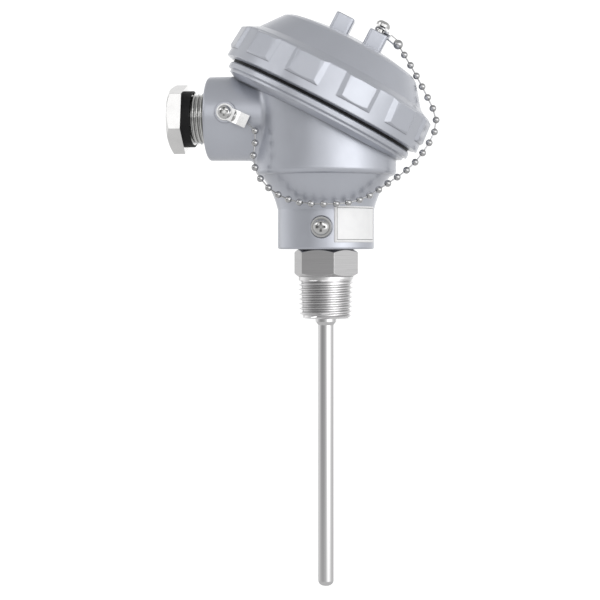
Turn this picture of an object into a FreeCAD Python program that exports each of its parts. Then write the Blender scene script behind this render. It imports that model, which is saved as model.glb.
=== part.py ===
import FreeCAD, Part
import math
import os

V = FreeCAD.Vector

# Driving dimensions in millimetres and degrees.
# The origin is on the probe axis, at the face of the hex that meets the process thread.
# +Z runs up the probe to the head, -X runs out of the cable boss, and the cap leans to +X.

# Sheath and sensing element
sheath_radius = 3.0
sheath_wall = 0.6
sheath_length_below_thread = 102.8
sheath_tip_round = 2.0
sheath_tip_wall = 2.0
sheath_top_stub = 2.0
weld_collar_radius = 4.0
weld_collar_height = 1.4
weld_collar_taper = 1.3
element_radius = 1.5
element_length = 17.0
element_tip_gap = 0.3
insulator_clearance = 0.1
insulator_top_gap = 1.0

# Lead wires
wire_count = 4
wire_radius = 0.4
wire_bore_clearance = 0.1
wire_circle_radius = 1.2
wire_bend_radius = 3.0
wire_height_over_block = 1.9
wire_grip = 2.0

# Hex nipple
nipple_hex_flats = 22.0
nipple_hex_height = 10.5
nipple_hex_chamfer_angle = 30.0
nipple_hex_turn = -10.7
process_thread_radius = 10.6
process_thread_length = 15.9
process_thread_taper = 1.0 / 32.0
process_thread_end_chamfer = 1.5
process_thread_end_chamfer_height = 0.9
head_thread_radius = 10.4
head_thread_length = 12.0
nipple_bore_radius = 7.0
nipple_floor_z = 4.0
weld_fit_clearance = 0.03

# Head casting, turned part
neck_radius = 18.5
neck_edge_round = 0.8
neck_top_z = 25.5
bowl_inset = 2.2
bowl_top_z = 38.6
bowl_hollow = 1.2
shoulder_step = 0.6
shoulder_round = 2.4
barrel_radius = 27.0
barrel_wall = 3.0
bowl_wall = 4.4
chamber_floor_z = 42.5
wire_passage_radius = 9.0
passage_top_z = 28.5
head_thread_clearance = 0.05
thread_relief_length = 2.0

# Tilted flange and collar
lid_tilt = 27.5
lid_x = -2.2
lid_z = 64.9
flange_radius = 38.4
flange_edge = 0.5
flange_lip = 2.2
flange_step = 1.3
flange_step_height = 1.4
flange_under_height = 1.6
flange_under_radius = 33.0
flange_step_slope = 0.35
flange_under_bulge = 0.35
flange_under_bulge_height = 0.25
collar_radius = 34.5
collar_wall = 3.5
collar_height = 8.0
collar_chamfer = 0.8
counterbore_depth = 2.6

# Cable boss
boss_z = 61.0
boss_mouth_x = -45.4
boss_radius = 16.2
boss_draft = 0.4
boss_mouth_round = 1.0
boss_blend = 3.0
cable_hole_radius = 6.5
cable_hole_shoulder = 2.0

# Cable gland
gland_thread_radius = 10.0
gland_thread_clearance = 0.06
gland_thread_pitch = 1.5
gland_hex_flats = 24.0
gland_hex_length = 5.8
gland_hex_turn = 10.0
gland_hex_chamfer_angle = 30.0
gland_bore_radius = 6.0
gland_bore_chamfer = 0.8
gland_visible_thread = 6.0
gland_engaged_thread = 9.0
gland_thread_chamfer = 1.0
seal_ring_length = 3.1
seal_ring_radius = 10.9
seal_ring_clearance = 0.06
gland_washer_thickness = 1.0
gland_washer_gap = 0.3
grommet_clearance = 0.2
gland_turns_in = 3

# Cap gasket and cap
gasket_thickness = 1.0
gasket_radius = 37.5
gasket_collar_gap = 0.4
gasket_cap_gap = 0.05
cap_clock = 3.7
cap_rim_radius = 38.6
cap_band_radius = 40.8
cap_band_draft = 0.9
cap_rim_chamfer_height = 0.6
cap_band_top = 12.3
cap_shoulder_inset = 1.3
cap_shoulder_rise = 1.3
cap_cone_bottom_radius = 35.0
cap_cone_bottom = 15.5
cap_cone_top_radius = 28.5
cap_cone_top = 23.9
cap_dome_edge_radius = 26.6
cap_dome_edge = 25.0
cap_top = 28.2
cap_wall = 3.0
cap_thread_clearance = 0.3
cap_thread_depth = 8.5
cap_thread_relief = 1.3
lug_count = 12
lug_clock = 2.9
lug_width = 12.4
lug_side_slope = 1.4
lug_bottom = 3.6
lug_bottom_bevel = 0.6
lug_bottom_bevel_height = 0.9
lug_radius = 41.5
lug_draft = 0.7
post_spacing = 14.2
post_width = 7.6
post_depth = 9.0
post_top = 34.6
post_round = 1.3
post_top_round = 0.6
post_root = 1.8

# Chain screws and tabs
cap_screw_radius = 1.2
cap_screw_bare = 2.7
cap_screw_depth = 7.0
cap_screw_head_radius = 2.8
cap_screw_head_height = 2.1
tab_thickness = 0.6
cap_tab_lift = 1.35
cap_tab_clearance = 0.5
cap_tab_eye_radius = 2.4
cap_tab_width = 4.4
cap_tab_end_width = 3.8
cap_tab_flat = 4.6
cap_tab_reach = 1.9
cap_tab_droop = 23.0
cap_tab_roll = -20.0
boss_screw_x = -36.5
boss_screw_z = 62.0
boss_pad_radius = 4.0
boss_pad_proud = 0.4
boss_pad_root = 4.0
boss_screw_radius = 1.5
boss_screw_depth = 4.0
boss_screw_head_radius = 2.5
boss_screw_head_height = 1.6
boss_tab_eye_radius = 3.2
boss_tab_width = 5.0
boss_tab_flat = 3.6
boss_tab_ramp = 2.4
boss_tab_rise = 1.6
boss_tab_end = 3.6
boss_tab_slope = 24.7

# Ball chain
bead_radius = 1.35
bead_mouth_radius = 0.6
bead_sides = 12
bead_band_share = 0.42
bead_count = 31
clasp_radius = 1.9
clasp_mouth_radius = 1.0
link_radius = 0.36
link_sides = 6
link_end_gap = 0.2
upper_bead_count = 8
# Each point is an angle about the axis, a gap beyond the cap's band, and a height above the gasket.
chain_beside_cap = [(-0.7, -17.8, 28.8), (-1.5, -6.3, 20.8), (-2.5, 1.0, 13.6), (-4.1, 2.1, 4.8)]
# Each point is an angle about the axis, a gap beyond the head's outside, and a height above the bowl's rim.
chain_round_head = [
    (-8.8, 7.0, 4.0),
    (-23.7, 2.93, -3.8),
    (-52.1, 2.26, -9.9),
    (-87.7, 2.88, -11.4),
    (-122.7, 2.67, -9.5),
    (-144.0, 4.57, -1.4),
]
# Each point is a distance in from the barrel's side, a gap before the boss, and a height above its axis.
chain_before_boss = [(1.73, 3.26, -15.3), (2.29, 2.69, -6.4)]

# Earth screw on the neck
earth_screw_z = 18.8
earth_seat_radius = 4.2
earth_seat_depth = 0.6
earth_washer_radius = 3.8
earth_washer_thickness = 0.8
earth_screw_radius = 2.0
earth_screw_depth = 5.0
earth_head_radius = 2.9
earth_head_height = 1.9

# Terminal block
block_seat_z = 44.0
block_radius = 20.5
block_thickness = 7.0
block_edge_chamfer = 0.8
block_hole_radius = 4.5
block_screw_spacing = 33.0
block_screw_radius = 2.0
block_screw_clearance = 0.2
block_screw_head_radius = 3.5
block_screw_head_height = 2.4
block_screw_depth = 6.0
pillar_radius = 4.2
pillar_foot_z = 29.0
terminal_inner_radius = 7.5
terminal_length = 10.0
terminal_width = 5.0
terminal_height = 5.5
terminal_hole_radius = 1.1
terminal_screw_radius = 1.3
terminal_screw_head_radius = 2.0
terminal_screw_head_height = 1.6
terminal_screw_length = 2.2
terminal_screw_inset = 2.4
terminal_screw_end_gap = 0.2

# Shared details
screw_hole_clearance = 0.05
screw_end_gap = 0.5
cross_slot_width = 0.9
cross_slot_depth = 0.9
cross_reach_share = 0.62
pan_side_share = 0.45
pan_edge_radius_share = 0.78
pan_edge_height_share = 0.86
hex_chamfer_reach = 1.3
cut_over = 1.0
reach = 200.0
# How far the middle of a quarter arc lies from each side of its square, as a share of the radius.
quarter_arc = 1.0 - math.sqrt(0.5)

# Places that follow from the sizes
neck_bottom_z = nipple_hex_height
thread_end_z = -process_thread_length
sheath_tip_z = thread_end_z - sheath_length_below_thread
shoulder_z = bowl_top_z + shoulder_round
chamber_radius = barrel_radius - barrel_wall
bowl_top_radius = barrel_radius - bowl_inset
collar_bore_radius = collar_radius - collar_wall
gland_hex_back_x = boss_mouth_x - gland_visible_thread - seal_ring_length
gland_end_x = boss_mouth_x + gland_engaged_thread
gland_bore_radius_in_boss = gland_thread_radius + gland_thread_clearance
gland_washer_x = gland_end_x + gland_turns_in * gland_thread_pitch + gland_washer_gap
grommet_x = gland_washer_x + gland_washer_thickness
grommet_end_x = -chamber_radius - cable_hole_shoulder
block_top_z = block_seat_z + block_thickness
wire_level_z = block_top_z + wire_height_over_block
lid_place = FreeCAD.Placement(V(lid_x, 0, lid_z), FreeCAD.Rotation(V(0, 1, 0), lid_tilt))
cap_place = lid_place.multiply(
    FreeCAD.Placement(V(0, 0, gasket_thickness), FreeCAD.Rotation(V(0, 0, 1), cap_clock)))


def turned(start, steps, sweep=360.0):
    """A section of (radius, height) points turned about Z; an inner pair is an arc's middle and end."""
    edges = []
    here = V(start[0], 0, start[1])
    first = here
    for step in steps:
        if isinstance(step[0], tuple):
            middle = V(step[0][0], 0, step[0][1])
            there = V(step[1][0], 0, step[1][1])
            edges.append(Part.Arc(here, middle, there).toShape())
        else:
            there = V(step[0], 0, step[1])
            edges.append(Part.LineSegment(here, there).toShape())
        here = there
    if here.distanceToPoint(first) > 1e-6:
        edges.append(Part.LineSegment(here, first).toShape())
    face = Part.Face(Part.Wire(edges))
    return face.revolve(V(0, 0, 0), V(0, 0, 1), sweep)


def cylinder(radius, bottom, top):
    return Part.makeCylinder(radius, top - bottom, V(0, 0, bottom))


def ring(outer, inner, bottom, top):
    return cylinder(outer, bottom, top).cut(cylinder(inner, bottom, top))


def placed(shape, place):
    copy = shape.copy()
    copy.Placement = place.multiply(copy.Placement)
    return copy


def along(point, direction):
    """A placement that turns +Z to the given direction and moves the origin to the point."""
    return FreeCAD.Placement(point, FreeCAD.Rotation(V(0, 0, 1), direction))


def tidy(shape):
    return shape.removeSplitter()


def fused(shapes):
    return tidy(shapes[0].multiFuse(shapes[1:]))


def regular_wire(sides, circumradius, height, turn=0.0):
    points = []
    for side in range(sides):
        angle = math.radians(360.0 * side / sides + turn)
        points.append(V(circumradius * math.cos(angle), circumradius * math.sin(angle), height))
    points.append(points[0])
    return Part.makePolygon(points)


def prism(sides, circumradius, bottom, top, turn=0.0):
    return Part.Face(regular_wire(sides, circumradius, bottom, turn)).extrude(V(0, 0, top - bottom))


def hex_bar(flats, bottom, top, chamfers, angle, turn=0.0):
    """A hexagonal bar whose corners are turned off at the ends named in chamfers."""
    corner = flats / 2 / math.cos(math.pi / 6)
    drop = (corner - flats / 2) * math.tan(math.radians(angle)) * hex_chamfer_reach
    rim = corner - drop / math.tan(math.radians(angle))
    beyond = corner + 1
    section = [(beyond, bottom)]
    if "bottom" in chamfers:
        section = [(rim, bottom), (corner, bottom + drop), (beyond, bottom + drop)]
    if "top" in chamfers:
        section += [(beyond, top - drop), (corner, top - drop), (rim, top)]
    else:
        section += [(beyond, top)]
    section.append((0, top))
    return prism(6, corner, bottom, top, turn).common(turned((0, bottom), section))


def faceted_ball(sides, rings):
    """A closed body of flat faces through rings given as (radius, height), lowest first."""
    circles = []
    for radius, height in rings:
        circles.append([
            V(radius * math.cos(2 * math.pi * k / sides), radius * math.sin(2 * math.pi * k / sides), height)
            for k in range(sides)])
    faces = [Part.Face(Part.makePolygon(circles[0] + circles[0][:1]))]
    faces.append(Part.Face(Part.makePolygon(circles[-1] + circles[-1][:1])))
    for low, high in zip(circles, circles[1:]):
        for k in range(sides):
            n = (k + 1) % sides
            faces.append(Part.Face(Part.makePolygon([low[k], low[n], high[n], high[k], low[k]])))
    return Part.makeSolid(Part.makeShell(faces))


def cross_recess(top, radius):
    """Two crossed slots, to be cut from a screw head whose top is at this height."""
    half = cross_slot_width / 2
    length = radius * cross_reach_share
    bottom = top - cross_slot_depth
    height = cross_slot_depth + cut_over
    one = Part.makeBox(2 * length, cross_slot_width, height, V(-length, -half, bottom))
    other = Part.makeBox(cross_slot_width, 2 * length, height, V(-half, -length, bottom))
    return one.fuse(other)


def pan_screw(shank_radius, shank_length, head_radius, head_height, bare=0.0):
    """A pan-head screw along Z: the shank reaches below zero and the head sits on the plane at bare."""
    side = head_height * pan_side_share
    edge_radius = head_radius * pan_edge_radius_share
    edge_height = bare + head_height * pan_edge_height_share
    head = turned((0, bare), [
        (head_radius, bare),
        (head_radius, bare + side),
        ((edge_radius, edge_height), (0, bare + head_height)),
    ])
    shank = cylinder(shank_radius, -shank_length, bare)
    return fused([shank, head]).cut(cross_recess(bare + head_height, head_radius))


def screw_hole(radius, depth):
    """The blind hole for a screw whose shank reaches this deep below height zero."""
    return cylinder(radius + screw_hole_clearance, -depth - screw_end_gap, cut_over)


# Head casting

def head_outside():
    """The outer form turned about the probe axis, running up past the tilted flange."""
    edge = neck_edge_round
    arc = edge * quarter_arc
    bowl_middle_r = (neck_radius + bowl_top_radius) / 2 - bowl_hollow
    bowl_middle_z = (neck_top_z + bowl_top_z - bowl_hollow) / 2
    corner_r = bowl_top_radius + shoulder_step
    turn_r = barrel_radius - (barrel_radius - corner_r) * quarter_arc
    turn_z = bowl_top_z + shoulder_round * quarter_arc
    return turned((0, neck_bottom_z), [
        (neck_radius - edge, neck_bottom_z),
        ((neck_radius - arc, neck_bottom_z + arc), (neck_radius, neck_bottom_z + edge)),
        (neck_radius, neck_top_z),
        ((bowl_middle_r, bowl_middle_z), (bowl_top_radius, bowl_top_z)),
        (corner_r, bowl_top_z),
        ((turn_r, turn_z), (barrel_radius, shoulder_z)),
        (barrel_radius, lid_z + barrel_radius),
        (0, lid_z + barrel_radius),
    ])


def boss_along_z():
    """The cable boss before it is laid over, mouth at height zero and root far inside the barrel."""
    length = -boss_mouth_x
    edge = boss_mouth_round
    arc = edge * quarter_arc
    return turned((0, 0), [
        (boss_radius - edge, 0),
        ((boss_radius - arc, arc), (boss_radius, edge)),
        (boss_radius + boss_draft, length),
        (0, length),
    ])


def boss_place():
    return along(V(boss_mouth_x, 0, boss_z), V(1, 0, 0))


def blended_boss(body):
    """Joins the boss to the barrel and rounds the seam between them."""
    joined = body.fuse(placed(boss_along_z(), boss_place()))
    seam = []
    for edge in joined.Edges:
        box = edge.BoundBox
        on_barrel = -barrel_radius - 0.1 < box.XMin and box.XMax < -barrel_radius / 2
        tall = box.ZLength > boss_radius
        if on_barrel and tall and edge.Curve.TypeId != "Part::GeomLine":
            seam.append(edge)
    return joined.makeFillet(boss_blend, seam)


def flange_and_collar():
    """The tilted flange with its stepped edge, and the collar that the cap screws on."""
    step_radius = flange_radius - flange_step
    step_bottom = -flange_lip - flange_step_height
    under = step_bottom - flange_under_height
    bulge_radius = flange_under_radius + (step_radius - flange_under_radius) * flange_under_bulge
    bulge_height = under + flange_under_height * flange_under_bulge_height
    lip = turned((0, 0), [
        (flange_radius - flange_edge, 0),
        (flange_radius, -flange_edge),
        (flange_radius, -flange_lip),
        (step_radius, -flange_lip - flange_step * flange_step_slope),
        (step_radius, step_bottom),
        ((bulge_radius, bulge_height), (flange_under_radius, under)),
        (0, under),
    ])
    collar = turned((0, -flange_lip), [
        (collar_radius, -flange_lip),
        (collar_radius, collar_height - collar_chamfer),
        (collar_radius - collar_chamfer, collar_height),
        (0, collar_height),
    ])
    return placed(lip.fuse(collar), lid_place)


def head_hollow():
    """The wiring chamber, the bowl inside, the wire passage and the threaded socket in the neck."""
    inner_r = bowl_top_radius - bowl_wall
    inner_z = bowl_top_z
    middle_r = (wire_passage_radius + inner_r) / 2 + bowl_hollow
    middle_z = (passage_top_z + inner_z) / 2 - bowl_hollow
    chamber = turned((0, neck_bottom_z), [
        (wire_passage_radius, neck_bottom_z),
        (wire_passage_radius, passage_top_z),
        ((middle_r, middle_z), (inner_r, inner_z)),
        (chamber_radius, chamber_floor_z),
        (chamber_radius, lid_z + barrel_radius),
        (0, lid_z + barrel_radius),
    ])
    socket_top = neck_bottom_z + head_thread_length + thread_relief_length
    socket = cylinder(head_thread_radius + head_thread_clearance, neck_bottom_z - 1, socket_top)
    mouth = placed(cylinder(collar_bore_radius, -counterbore_depth, reach), lid_place)
    return chamber.fuse(socket).fuse(mouth)


def cable_way():
    """The threaded hole in the boss and the smaller hole behind its shoulder."""
    depth = grommet_end_x - boss_mouth_x
    hole = cylinder(gland_bore_radius_in_boss, -1, depth)
    hole = hole.fuse(cylinder(cable_hole_radius, depth - 1, depth + cable_hole_shoulder * 3))
    return placed(hole, boss_place())


def pillars():
    """The two pillars that carry the terminal block."""
    both = []
    for side in (-1, 1):
        centre = V(0, side * block_screw_spacing / 2, pillar_foot_z)
        both.append(Part.makeCylinder(pillar_radius, block_seat_z - pillar_foot_z, centre))
    return both


def pillar_holes():
    holes = []
    depth = block_screw_depth + 1
    for side in (-1, 1):
        centre = V(0, side * block_screw_spacing / 2, block_seat_z - depth)
        holes.append(Part.makeCylinder(block_screw_radius + screw_hole_clearance, depth + 1, centre))
    return holes


def boss_screw_place():
    """The face of the small pad on the boss front, with Z pointing out of it."""
    return along(V(boss_screw_x, -boss_radius - boss_pad_proud, boss_screw_z), V(0, -1, 0))


def earth_screw_place():
    return along(V(0, -neck_radius + earth_seat_depth, earth_screw_z), V(0, -1, 0))


def head_body():
    outside = head_outside()
    body = blended_boss(outside)
    above = placed(cylinder(reach, -flange_lip, reach), lid_place)
    body = body.cut(above).fuse(flange_and_collar())
    pad = placed(cylinder(boss_pad_radius, -boss_pad_root, 0), boss_screw_place())
    body = body.fuse(pad)
    body = body.cut(head_hollow())
    body = body.multiFuse([pillar.common(outside) for pillar in pillars()])
    body = body.cut(cable_way())
    for hole in pillar_holes():
        body = body.cut(hole)
    body = body.cut(placed(screw_hole(boss_screw_radius, boss_screw_depth), boss_screw_place()))
    earth_seat = cylinder(earth_seat_radius, 0, earth_seat_depth + cut_over)
    earth_hole = screw_hole(earth_screw_radius, earth_screw_depth).fuse(earth_seat)
    body = body.cut(placed(earth_hole, earth_screw_place()))
    return tidy(body)


# Cap, gasket and their screw

def cap_shell():
    """The cap's casting without lugs and posts; height zero is the face on the gasket."""
    shoulder_r = cap_band_radius - cap_band_draft - cap_shoulder_inset
    shoulder_h = cap_band_top + cap_shoulder_rise
    shoulder_arc_r = shoulder_r + cap_shoulder_inset * (1 - quarter_arc)
    shoulder_arc_h = shoulder_h - cap_shoulder_rise * quarter_arc
    sag = cap_top - cap_dome_edge
    dome_radius = (cap_dome_edge_radius ** 2 + sag ** 2) / (2 * sag)
    half_r = cap_dome_edge_radius / 2
    half_h = cap_top - dome_radius + math.sqrt(dome_radius ** 2 - half_r ** 2)
    outside = turned((0, 0), [
        (cap_rim_radius, 0),
        (cap_band_radius, cap_rim_chamfer_height),
        (cap_band_radius - cap_band_draft, cap_band_top),
        ((shoulder_arc_r, shoulder_arc_h), (shoulder_r, shoulder_h)),
        (cap_cone_bottom_radius, cap_cone_bottom),
        (cap_cone_top_radius, cap_cone_top),
        (cap_dome_edge_radius, cap_dome_edge),
        ((half_r, half_h), (0, cap_top)),
    ])
    thread_r = collar_radius + cap_thread_clearance
    relief_r = thread_r - cap_thread_relief
    inside = turned((0, -1), [
        (thread_r, -1),
        (thread_r, cap_thread_depth),
        (relief_r, cap_thread_depth + cap_thread_relief),
        (relief_r, cap_band_top),
        (cap_cone_top_radius - cap_wall, cap_cone_top - cap_wall),
        (0, cap_top - cap_wall),
    ])
    return outside.cut(inside)


def lug_prism():
    """The upright block that gives one lug its slanted sides; it leans inwards as the band does."""
    inner = cap_cone_bottom_radius
    half = lug_width / 2
    foot = half + (cap_band_radius - inner) * lug_side_slope
    tip = half - (lug_radius - cap_band_radius) * lug_side_slope
    outline = [V(inner, -foot, 0), V(lug_radius, -tip, 0), V(lug_radius, tip, 0), V(inner, foot, 0)]
    lean = V(-cap_band_draft, 0, cap_band_top)
    return Part.Face(Part.makePolygon(outline + outline[:1])).extrude(lean * 2)


def cap_lugs():
    """Twelve raised pads round the band with slanted sides and a bevelled foot."""
    top = cap_band_top + cap_shoulder_rise
    inner = cap_band_radius - cap_band_draft - cap_shoulder_inset
    sweep = 360.0 / lug_count
    pad = turned((inner, lug_bottom), [
        (lug_radius - lug_bottom_bevel, lug_bottom),
        (lug_radius, lug_bottom + lug_bottom_bevel_height),
        (lug_radius - lug_draft, cap_band_top),
        (inner, top),
    ], sweep)
    pad.rotate(V(0, 0, 0), V(0, 0, 1), -sweep / 2)
    pad = pad.common(lug_prism())
    lugs = []
    for number in range(lug_count):
        lug = pad.copy()
        lug.rotate(V(0, 0, 0), V(0, 0, 1), sweep * (number + 0.5) + lug_clock)
        lugs.append(lug)
    return lugs


def cap_post(side):
    bottom = cap_top - post_root
    corner = V(side * post_spacing / 2 - post_width / 2, -post_depth / 2, bottom)
    post = Part.makeBox(post_width, post_depth, post_top - bottom, corner)
    upright = [edge for edge in post.Edges if edge.BoundBox.ZLength > 1]
    post = post.makeFillet(post_round, upright)
    top = [edge for edge in post.Edges if edge.BoundBox.ZMin > post_top - 0.01]
    return post.makeFillet(post_top_round, top)


def cap_screw_place():
    return cap_place.multiply(FreeCAD.Placement(V(post_spacing / 2, 0, post_top), FreeCAD.Rotation()))


def screw_cap():
    cap = fused([cap_shell()] + cap_lugs() + [cap_post(-1), cap_post(1)])
    cap = placed(cap, cap_place)
    return cap.cut(placed(screw_hole(cap_screw_radius, cap_screw_depth), cap_screw_place()))


def cap_gasket():
    inner = collar_radius + gasket_collar_gap
    top = gasket_thickness - gasket_cap_gap
    return placed(ring(gasket_radius, inner, 0, top), lid_place)


def cap_chain_screw():
    screw = pan_screw(cap_screw_radius, cap_screw_depth, cap_screw_head_radius,
                      cap_screw_head_height, cap_screw_bare)
    return placed(screw, cap_screw_place())


def strip(profile, width):
    """A bent strip: an open line of (reach, height) points thickened upwards and spread across the width."""
    lower = [V(x, -width / 2, z) for x, z in profile]
    upper = [V(x, -width / 2, z + tab_thickness) for x, z in reversed(profile)]
    outline = lower + upper + lower[:1]
    return Part.Face(Part.makePolygon(outline)).extrude(V(0, width, 0))


def cap_tab_place():
    """The middle of the bare shank, with X along the strip and the strip rolled over on its loose eye."""
    turn_back = FreeCAD.Rotation(V(0, 0, 1), -cap_clock)
    roll = FreeCAD.Rotation(V(1, 0, 0), cap_tab_roll)
    return cap_screw_place().multiply(FreeCAD.Placement(V(0, 0, cap_tab_lift), turn_back.multiply(roll)))


def cap_tab_points():
    level = -tab_thickness / 2
    droop = math.tan(math.radians(cap_tab_droop))
    return [(0, level), (cap_tab_flat, level), (cap_tab_flat + cap_tab_reach, level - cap_tab_reach * droop)]


def cap_chain_tab():
    """The strip that turns loosely on the bare shank and bends down towards the chain."""
    points = cap_tab_points()
    body = strip(points, cap_tab_width)
    far = points[-1][0] + 1
    inset = (cap_tab_width - cap_tab_end_width) / 2
    low = -far
    for side in (-1, 1):
        edge = side * cap_tab_width / 2
        wedge = Part.makePolygon([
            V(cap_tab_flat, edge, low), V(far, edge - side * inset, low),
            V(far, edge + side, low), V(cap_tab_flat, edge + side, low), V(cap_tab_flat, edge, low)])
        body = body.cut(Part.Face(wedge).extrude(V(0, 0, 3 * far)))
    eye = cylinder(cap_tab_eye_radius, -tab_thickness / 2, tab_thickness / 2)
    hole = cylinder(cap_screw_radius + cap_tab_clearance, -tab_thickness, tab_thickness)
    body = tidy(body.fuse(eye)).cut(hole)
    return placed(body, cap_tab_place())


def cap_tab_tip():
    """Where the chain's first link meets the strip on the cap."""
    x, z = cap_tab_points()[-1]
    return cap_tab_place().multVec(V(x, 0, z + tab_thickness / 2))


# Tab and screw on the boss

def boss_tab_place():
    """X runs along the strip, which slopes down towards the barrel, and Z points out of the pad."""
    lay = FreeCAD.Rotation(V(1, 0, 0), 90)
    slope = FreeCAD.Rotation(V(0, 0, 1), -boss_tab_slope)
    return FreeCAD.Placement(boss_screw_place().Base, lay.multiply(slope))


def boss_tab_points():
    ramp_end = boss_tab_flat + boss_tab_ramp
    return [(0, 0), (boss_tab_flat, 0), (ramp_end, boss_tab_rise), (ramp_end + boss_tab_end, boss_tab_rise)]


def boss_chain_tab():
    body = strip(boss_tab_points(), boss_tab_width)
    body = tidy(body.fuse(cylinder(boss_tab_eye_radius, 0, tab_thickness)))
    body = body.cut(cylinder(boss_screw_radius + screw_hole_clearance, -1, tab_thickness + 1))
    return placed(body, boss_tab_place())


def boss_tab_tip():
    x, z = boss_tab_points()[-1]
    return boss_tab_place().multVec(V(x, 0, z + tab_thickness / 2))


def boss_chain_screw():
    screw = pan_screw(boss_screw_radius, boss_screw_depth, boss_screw_head_radius, boss_screw_head_height)
    lift = FreeCAD.Placement(V(0, 0, tab_thickness), FreeCAD.Rotation())
    return placed(screw, boss_screw_place().multiply(lift))


# Ball chain

def around(place, angle, radius, height):
    turn = math.radians(angle)
    return place.multVec(V(radius * math.cos(turn), radius * math.sin(turn), height))


def outside_radius(height):
    """How far the neck, the bowl or the barrel reaches from the probe's axis at this height."""
    if height <= neck_top_z:
        return neck_radius
    if height >= bowl_top_z:
        return barrel_radius
    share = (height - neck_top_z) / (bowl_top_z - neck_top_z)
    return neck_radius + (bowl_top_radius - neck_radius) * share


def chain_points():
    """From the cap's strip, past the lugs, round the head and up before the boss to its strip."""
    points = [cap_tab_tip()]
    cap_level = lid_place.multiply(FreeCAD.Placement(V(0, 0, gasket_thickness), FreeCAD.Rotation()))
    for angle, gap, height in chain_beside_cap:
        points.append(around(cap_level, angle, max(lug_radius, cap_band_radius) + gap, height))
    for angle, gap, rise in chain_round_head:
        height = bowl_top_z + rise
        points.append(around(FreeCAD.Placement(), angle, outside_radius(height) + gap, height))
    for inset, gap, height in chain_before_boss:
        points.append(V(-barrel_radius + inset, -boss_radius - gap, boss_z + height))
    points.append(boss_tab_tip())
    return points


def chain_route():
    curve = Part.BSplineCurve()
    curve.interpolate(chain_points())
    return curve.toShape()


def bead(radius, mouth_radius):
    side = radius * bead_band_share
    mouth = math.sqrt(radius ** 2 - mouth_radius ** 2)
    return faceted_ball(bead_sides, [
        (mouth_radius, -mouth), (radius, -side), (radius, side), (mouth_radius, mouth)])


def chain_pieces():
    """Evenly spaced beads with a link in every gap, the first half a pitch past the cap's strip."""
    marks = chain_route().discretize(Number=2 * bead_count + 2)
    centres = marks[1:-1:2]
    beads = []
    for number, centre in enumerate(centres):
        ahead = marks[2 * number + 2] - marks[2 * number]
        ball = bead(bead_radius, bead_mouth_radius) if number else bead(clasp_radius, clasp_mouth_radius)
        beads.append(placed(ball, along(centre, ahead)))
    stops = [marks[0]] + centres + [marks[-1]]
    room = [link_end_gap] + [bead_radius] * bead_count + [link_end_gap]
    room[1] = clasp_radius
    links = []
    for number in range(bead_count + 1):
        way = stops[number + 1] - stops[number]
        bar = prism(link_sides, link_radius, room[number], way.Length - room[number + 1])
        links.append(placed(bar, along(stops[number], way)))
    return beads, links


# Cable gland

def gland_place():
    """Z runs out of the boss, and zero is the back face of the hex."""
    return along(V(gland_hex_back_x, 0, boss_z), V(-1, 0, 0))


def gland_screw():
    head = hex_bar(gland_hex_flats, 0, gland_hex_length, ["top"], gland_hex_chamfer_angle, gland_hex_turn)
    inner_end = gland_hex_back_x - gland_end_x
    chamfer = gland_thread_chamfer
    shank = turned((0, 0), [
        (gland_thread_radius, 0),
        (gland_thread_radius, inner_end + chamfer),
        (gland_thread_radius - chamfer, inner_end),
        (0, inner_end),
    ])
    mouth = gland_bore_radius + gland_bore_chamfer
    bore = turned((0, inner_end - 1), [
        (gland_bore_radius, inner_end - 1),
        (gland_bore_radius, gland_hex_length - gland_bore_chamfer),
        (mouth, gland_hex_length),
        (mouth, gland_hex_length + 1),
        (0, gland_hex_length + 1),
    ])
    return placed(fused([head, shank]).cut(bore), gland_place())


def gland_seal_ring():
    inner = gland_thread_radius + seal_ring_clearance
    return placed(ring(seal_ring_radius, inner, -seal_ring_length, 0), gland_place())


def gland_washer():
    start = gland_washer_x - boss_mouth_x
    outer = gland_bore_radius_in_boss - grommet_clearance
    return placed(ring(outer, gland_bore_radius, start, start + gland_washer_thickness), boss_place())


def gland_grommet():
    start = grommet_x - boss_mouth_x
    end = grommet_end_x - boss_mouth_x
    outer = gland_bore_radius_in_boss - grommet_clearance
    return placed(ring(outer, gland_bore_radius, start, end), boss_place())


# Neck screw

def earth_washer():
    inner = earth_screw_radius + screw_hole_clearance
    return placed(ring(earth_washer_radius, inner, 0, earth_washer_thickness), earth_screw_place())


def earth_screw():
    screw = pan_screw(earth_screw_radius, earth_screw_depth, earth_head_radius, earth_head_height)
    lift = FreeCAD.Placement(V(0, 0, earth_washer_thickness), FreeCAD.Rotation())
    return placed(screw, earth_screw_place().multiply(lift))


# Process nipple and probe

def thread_radius_at(depth):
    return process_thread_radius - process_thread_taper * depth


def hex_nipple():
    hexagon = hex_bar(nipple_hex_flats, 0, nipple_hex_height, ["bottom", "top"],
                      nipple_hex_chamfer_angle, nipple_hex_turn)
    chamfer = process_thread_end_chamfer
    end_radius = thread_radius_at(process_thread_length)
    lower = turned((0, thread_end_z), [
        (end_radius - chamfer, thread_end_z),
        (end_radius, thread_end_z + process_thread_end_chamfer_height),
        (process_thread_radius, 0),
        (0, 0),
    ])
    upper_end = nipple_hex_height + head_thread_length
    upper = cylinder(head_thread_radius, nipple_hex_height, upper_end)
    body = fused([hexagon, lower, upper])
    body = body.cut(cylinder(nipple_bore_radius, nipple_floor_z, upper_end + 1))
    return body.cut(cylinder(sheath_radius + weld_fit_clearance, thread_end_z - 1, nipple_floor_z + 1))


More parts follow.
